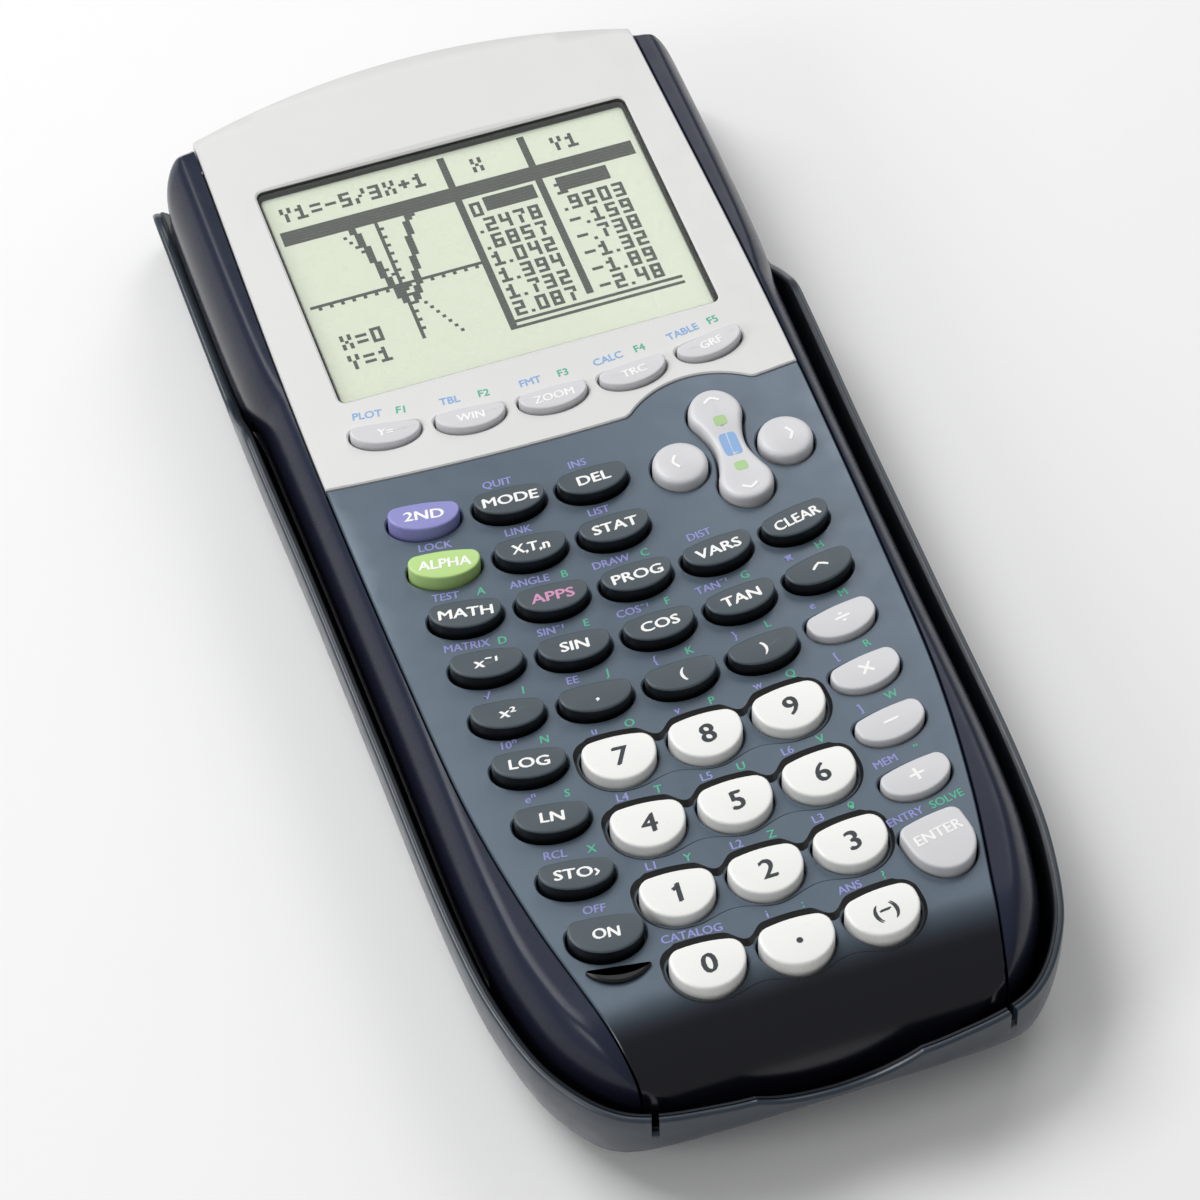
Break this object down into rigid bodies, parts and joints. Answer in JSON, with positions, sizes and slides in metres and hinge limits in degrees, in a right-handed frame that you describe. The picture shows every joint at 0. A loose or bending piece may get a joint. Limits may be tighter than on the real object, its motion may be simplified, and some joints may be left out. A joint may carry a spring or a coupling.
{
  "type": "graphing calculator",
  "caption": "Handheld graphing calculator with a recessed screen, sprung keys, an arrow pad and a slide cover stored on its back.",
  "frame": {"origin": "bottom centre of the part, on the back of the slide cover", "axes": "+X to the right across the keys, +Y along the calculator towards its screen end, +Z out of the face"},
  "size_m": [0.086, 0.19, 0.0258],
  "materials": {
    "rail_gloss": "polished",
    "cover_gloss": "polished",
    "casing_dark": "fine texture",
    "bezel_grey": "satin",
    "keypad_blue": "satin with a metallic tint",
    "window_clear": "clear",
    "lcd_green": "smooth",
    "board_green": "solder mask",
    "silicone_grey": "matte",
    "cell_metal": "printed sleeve",
    "key_dark": "satin",
    "key_pale": "satin",
    "key_white": "satin",
    "key_violet": "satin",
    "key_green": "satin"
  },
  "bodies": {
    "calculator": {"front_housing": "rail_gloss", "screen_bezel": "bezel_grey", "keypad_panel": "keypad_blue", "screen_window": "window_clear", "display_module": "lcd_green", "circuit_board": "board_green", "key_membrane": "silicone_grey", "rear_case": "casing_dark", "battery_door": "casing_dark", "battery_cells": "cell_metal"},
    "slide_cover": {"slide_cover": "cover_gloss"},
    "function_key_1": {"function_key_1": "key_pale"},
    "function_key_2": {"function_key_2": "key_pale"},
    "function_key_3": {"function_key_3": "key_pale"},
    "function_key_4": {"function_key_4": "key_pale"},
    "function_key_5": {"function_key_5": "key_pale"},
    "second_key": {"second_key": "key_violet"},
    "mode_key": {"mode_key": "key_dark"},
    "delete_key": {"delete_key": "key_dark"},
    "alpha_key": {"alpha_key": "key_green"},
    "variable_key": {"variable_key": "key_dark"},
    "statistics_key": {"statistics_key": "key_dark"},
    "math_key": {"math_key": "key_dark"},
    "apps_key": {"apps_key": "key_dark"},
    "program_key": {"program_key": "key_dark"},
    "list_key": {"list_key": "key_dark"},
    "clear_key": {"clear_key": "key_dark"},
    "reciprocal_key": {"reciprocal_key": "key_dark"},
    "sine_key": {"sine_key": "key_dark"},
    "cosine_key": {"cosine_key": "key_dark"},
    "tangent_key": {"tangent_key": "key_dark"},
    "power_key": {"power_key": "key_dark"},
    "square_key": {"square_key": "key_dark"},
    "comma_key": {"comma_key": "key_dark"},
    "left_bracket_key": {"left_bracket_key": "key_dark"},
    "right_bracket_key": {"right_bracket_key": "key_dark"},
    "log_key": {"log_key": "key_dark"},
    "natural_log_key": {"natural_log_key": "key_dark"},
    "store_key": {"store_key": "key_dark"},
    "on_key": {"on_key": "key_dark"},
    "divide_key": {"divide_key": "key_pale"},
    "multiply_key": {"multiply_key": "key_pale"},
    "subtract_key": {"subtract_key": "key_pale"},
    "add_key": {"add_key": "key_pale"},
    "enter_key": {"enter_key": "key_pale"},
    "key_7": {"key_7": "key_white"},
    "key_8": {"key_8": "key_white"},
    "key_9": {"key_9": "key_white"},
    "key_4": {"key_4": "key_white"},
    "key_5": {"key_5": "key_white"},
    "key_6": {"key_6": "key_white"},
    "key_1": {"key_1": "key_white"},
    "key_2": {"key_2": "key_white"},
    "key_3": {"key_3": "key_white"},
    "key_0": {"key_0": "key_white"},
    "decimal_key": {"decimal_key": "key_white"},
    "negative_key": {"negative_key": "key_white"},
    "left_arrow_key": {"left_arrow_key": "key_pale"},
    "right_arrow_key": {"right_arrow_key": "key_pale"},
    "up_down_rocker": {"up_down_rocker": "key_pale"}
  },
  "joints": [
    {"name": "up_down_rocker_tilt", "type": "hinge", "parent": "calculator", "child": "up_down_rocker", "pos_m": [0.02065, 0.0049, 0.0208], "axis": [1, 0, 0], "range_deg": [-3.5, 3.5], "stiffness_Nm_per_rad": 0.2, "deforming": ["key_membrane"]},
    {"name": "cover_slide", "type": "slide", "parent": "calculator", "child": "slide_cover", "axis": [0, -1, 0], "range_m": [0, 0.19]},
    {"name": "function_key_1_press", "type": "slide", "parent": "calculator", "child": "function_key_1", "axis": [0, 0, -1], "range_m": [0, 0.0008], "stiffness_N_per_m": 600, "deforming": ["key_membrane"]},
    {"name": "function_key_2_press", "type": "slide", "parent": "calculator", "child": "function_key_2", "axis": [0, 0, -1], "range_m": [0, 0.0008], "stiffness_N_per_m": 600, "deforming": ["key_membrane"]},
    {"name": "function_key_3_press", "type": "slide", "parent": "calculator", "child": "function_key_3", "axis": [0, 0, -1], "range_m": [0, 0.0008], "stiffness_N_per_m": 600, "deforming": ["key_membrane"]},
    {"name": "function_key_4_press", "type": "slide", "parent": "calculator", "child": "function_key_4", "axis": [0, 0, -1], "range_m": [0, 0.0008], "stiffness_N_per_m": 600, "deforming": ["key_membrane"]},
    {"name": "function_key_5_press", "type": "slide", "parent": "calculator", "child": "function_key_5", "axis": [0, 0, -1], "range_m": [0, 0.0008], "stiffness_N_per_m": 600, "deforming": ["key_membrane"]},
    {"name": "second_key_press", "type": "slide", "parent": "calculator", "child": "second_key", "axis": [0, 0, -1], "range_m": [0, 0.001], "stiffness_N_per_m": 600, "deforming": ["key_membrane"]},
    {"name": "mode_key_press", "type": "slide", "parent": "calculator", "child": "mode_key", "axis": [0, 0, -1], "range_m": [0, 0.001], "stiffness_N_per_m": 600, "deforming": ["key_membrane"]},
    {"name": "delete_key_press", "type": "slide", "parent": "calculator", "child": "delete_key", "axis": [0, 0, -1], "range_m": [0, 0.001], "stiffness_N_per_m": 600, "deforming": ["key_membrane"]},
    {"name": "alpha_key_press", "type": "slide", "parent": "calculator", "child": "alpha_key", "axis": [0, 0, -1], "range_m": [0, 0.001], "stiffness_N_per_m": 600, "deforming": ["key_membrane"]},
    {"name": "variable_key_press", "type": "slide", "parent": "calculator", "child": "variable_key", "axis": [0, 0, -1], "range_m": [0, 0.001], "stiffness_N_per_m": 600, "deforming": ["key_membrane"]},
    {"name": "statistics_key_press", "type": "slide", "parent": "calculator", "child": "statistics_key", "axis": [0, 0, -1], "range_m": [0, 0.001], "stiffness_N_per_m": 600, "deforming": ["key_membrane"]},
    {"name": "math_key_press", "type": "slide", "parent": "calculator", "child": "math_key", "axis": [0, 0, -1], "range_m": [0, 0.001], "stiffness_N_per_m": 600, "deforming": ["key_membrane"]},
    {"name": "apps_key_press", "type": "slide", "parent": "calculator", "child": "apps_key", "axis": [0, 0, -1], "range_m": [0, 0.001], "stiffness_N_per_m": 600, "deforming": ["key_membrane"]},
    {"name": "program_key_press", "type": "slide", "parent": "calculator", "child": "program_key", "axis": [0, 0, -1], "range_m": [0, 0.001], "stiffness_N_per_m": 600, "deforming": ["key_membrane"]},
    {"name": "list_key_press", "type": "slide", "parent": "calculator", "child": "list_key", "axis": [0, 0, -1], "range_m": [0, 0.001], "stiffness_N_per_m": 600, "deforming": ["key_membrane"]},
    {"name": "clear_key_press", "type": "slide", "parent": "calculator", "child": "clear_key", "axis": [0, 0, -1], "range_m": [0, 0.001], "stiffness_N_per_m": 600, "deforming": ["key_membrane"]},
    {"name": "reciprocal_key_press", "type": "slide", "parent": "calculator", "child": "reciprocal_key", "axis": [0, 0, -1], "range_m": [0, 0.001], "stiffness_N_per_m": 600, "deforming": ["key_membrane"]},
    {"name": "sine_key_press", "type": "slide", "parent": "calculator", "child": "sine_key", "axis": [0, 0, -1], "range_m": [0, 0.001], "stiffness_N_per_m": 600, "deforming": ["key_membrane"]},
    {"name": "cosine_key_press", "type": "slide", "parent": "calculator", "child": "cosine_key", "axis": [0, 0, -1], "range_m": [0, 0.001], "stiffness_N_per_m": 600, "deforming": ["key_membrane"]},
    {"name": "tangent_key_press", "type": "slide", "parent": "calculator", "child": "tangent_key", "axis": [0, 0, -1], "range_m": [0, 0.001], "stiffness_N_per_m": 600, "deforming": ["key_membrane"]},
    {"name": "power_key_press", "type": "slide", "parent": "calculator", "child": "power_key", "axis": [0, 0, -1], "range_m": [0, 0.001], "stiffness_N_per_m": 600, "deforming": ["key_membrane"]},
    {"name": "square_key_press", "type": "slide", "parent": "calculator", "child": "square_key", "axis": [0, 0, -1], "range_m": [0, 0.001], "stiffness_N_per_m": 600, "deforming": ["key_membrane"]},
    {"name": "comma_key_press", "type": "slide", "parent": "calculator", "child": "comma_key", "axis": [0, 0, -1], "range_m": [0, 0.001], "stiffness_N_per_m": 600, "deforming": ["key_membrane"]},
    {"name": "left_bracket_key_press", "type": "slide", "parent": "calculator", "child": "left_bracket_key", "axis": [0, 0, -1], "range_m": [0, 0.001], "stiffness_N_per_m": 600, "deforming": ["key_membrane"]},
    {"name": "right_bracket_key_press", "type": "slide", "parent": "calculator", "child": "right_bracket_key", "axis": [0, 0, -1], "range_m": [0, 0.001], "stiffness_N_per_m": 600, "deforming": ["key_membrane"]},
    {"name": "log_key_press", "type": "slide", "parent": "calculator", "child": "log_key", "axis": [0, 0, -1], "range_m": [0, 0.001], "stiffness_N_per_m": 600, "deforming": ["key_membrane"]},
    {"name": "natural_log_key_press", "type": "slide", "parent": "calculator", "child": "natural_log_key", "axis": [0, 0, -1], "range_m": [0, 0.001], "stiffness_N_per_m": 600, "deforming": ["key_membrane"]},
    {"name": "store_key_press", "type": "slide", "parent": "calculator", "child": "store_key", "axis": [0, 0, -1], "range_m": [0, 0.001], "stiffness_N_per_m": 600, "deforming": ["key_membrane"]},
    {"name": "on_key_press", "type": "slide", "parent": "calculator", "child": "on_key", "axis": [0, 0, -1], "range_m": [0, 0.001], "stiffness_N_per_m": 600, "deforming": ["key_membrane"]},
    {"name": "divide_key_press", "type": "slide", "parent": "calculator", "child": "divide_key", "axis": [0, 0, -1], "range_m": [0, 0.001], "stiffness_N_per_m": 600, "deforming": ["key_membrane"]},
    {"name": "multiply_key_press", "type": "slide", "parent": "calculator", "child": "multiply_key", "axis": [0, 0, -1], "range_m": [0, 0.001], "stiffness_N_per_m": 600, "deforming": ["key_membrane"]},
    {"name": "subtract_key_press", "type": "slide", "parent": "calculator", "child": "subtract_key", "axis": [0, 0, -1], "range_m": [0, 0.001], "stiffness_N_per_m": 600, "deforming": ["key_membrane"]},
    {"name": "add_key_press", "type": "slide", "parent": "calculator", "child": "add_key", "axis": [0, 0, -1], "range_m": [0, 0.001], "stiffness_N_per_m": 600, "deforming": ["key_membrane"]},
    {"name": "enter_key_press", "type": "slide", "parent": "calculator", "child": "enter_key", "axis": [0, 0, -1], "range_m": [0, 0.001], "stiffness_N_per_m": 600, "deforming": ["key_membrane"]},
    {"name": "key_7_press", "type": "slide", "parent": "calculator", "child": "key_7", "axis": [0, 0, -1], "range_m": [0, 0.001], "stiffness_N_per_m": 600, "deforming": ["key_membrane"]},
    {"name": "key_8_press", "type": "slide", "parent": "calculator", "child": "key_8", "axis": [0, 0, -1], "range_m": [0, 0.001], "stiffness_N_per_m": 600, "deforming": ["key_membrane"]},
    {"name": "key_9_press", "type": "slide", "parent": "calculator", "child": "key_9", "axis": [0, 0, -1], "range_m": [0, 0.001], "stiffness_N_per_m": 600, "deforming": ["key_membrane"]},
    {"name": "key_4_press", "type": "slide", "parent": "calculator", "child": "key_4", "axis": [0, 0, -1], "range_m": [0, 0.001], "stiffness_N_per_m": 600, "deforming": ["key_membrane"]},
    {"name": "key_5_press", "type": "slide", "parent": "calculator", "child": "key_5", "axis": [0, 0, -1], "range_m": [0, 0.001], "stiffness_N_per_m": 600, "deforming": ["key_membrane"]},
    {"name": "key_6_press", "type": "slide", "parent": "calculator", "child": "key_6", "axis": [0, 0, -1], "range_m": [0, 0.001], "stiffness_N_per_m": 600, "deforming": ["key_membrane"]},
    {"name": "key_1_press", "type": "slide", "parent": "calculator", "child": "key_1", "axis": [0, 0, -1], "range_m": [0, 0.001], "stiffness_N_per_m": 600, "deforming": ["key_membrane"]},
    {"name": "key_2_press", "type": "slide", "parent": "calculator", "child": "key_2", "axis": [0, 0, -1], "range_m": [0, 0.001], "stiffness_N_per_m": 600, "deforming": ["key_membrane"]},
    {"name": "key_3_press", "type": "slide", "parent": "calculator", "child": "key_3", "axis": [0, 0, -1], "range_m": [0, 0.001], "stiffness_N_per_m": 600, "deforming": ["key_membrane"]},
    {"name": "key_0_press", "type": "slide", "parent": "calculator", "child": "key_0", "axis": [0, 0, -1], "range_m": [0, 0.001], "stiffness_N_per_m": 600, "deforming": ["key_membrane"]},
    {"name": "decimal_key_press", "type": "slide", "parent": "calculator", "child": "decimal_key", "axis": [0, 0, -1], "range_m": [0, 0.001], "stiffness_N_per_m": 600, "deforming": ["key_membrane"]},
    {"name": "negative_key_press", "type": "slide", "parent": "calculator", "child": "negative_key", "axis": [0, 0, -1], "range_m": [0, 0.001], "stiffness_N_per_m": 600, "deforming": ["key_membrane"]},
    {"name": "left_arrow_key_press", "type": "slide", "parent": "calculator", "child": "left_arrow_key", "axis": [0, 0, -1], "range_m": [0, 0.001], "stiffness_N_per_m": 600, "deforming": ["key_membrane"]},
    {"name": "right_arrow_key_press", "type": "slide", "parent": "calculator", "child": "right_arrow_key", "axis": [0, 0, -1], "range_m": [0, 0.001], "stiffness_N_per_m": 600, "deforming": ["key_membrane"]}
  ]
}
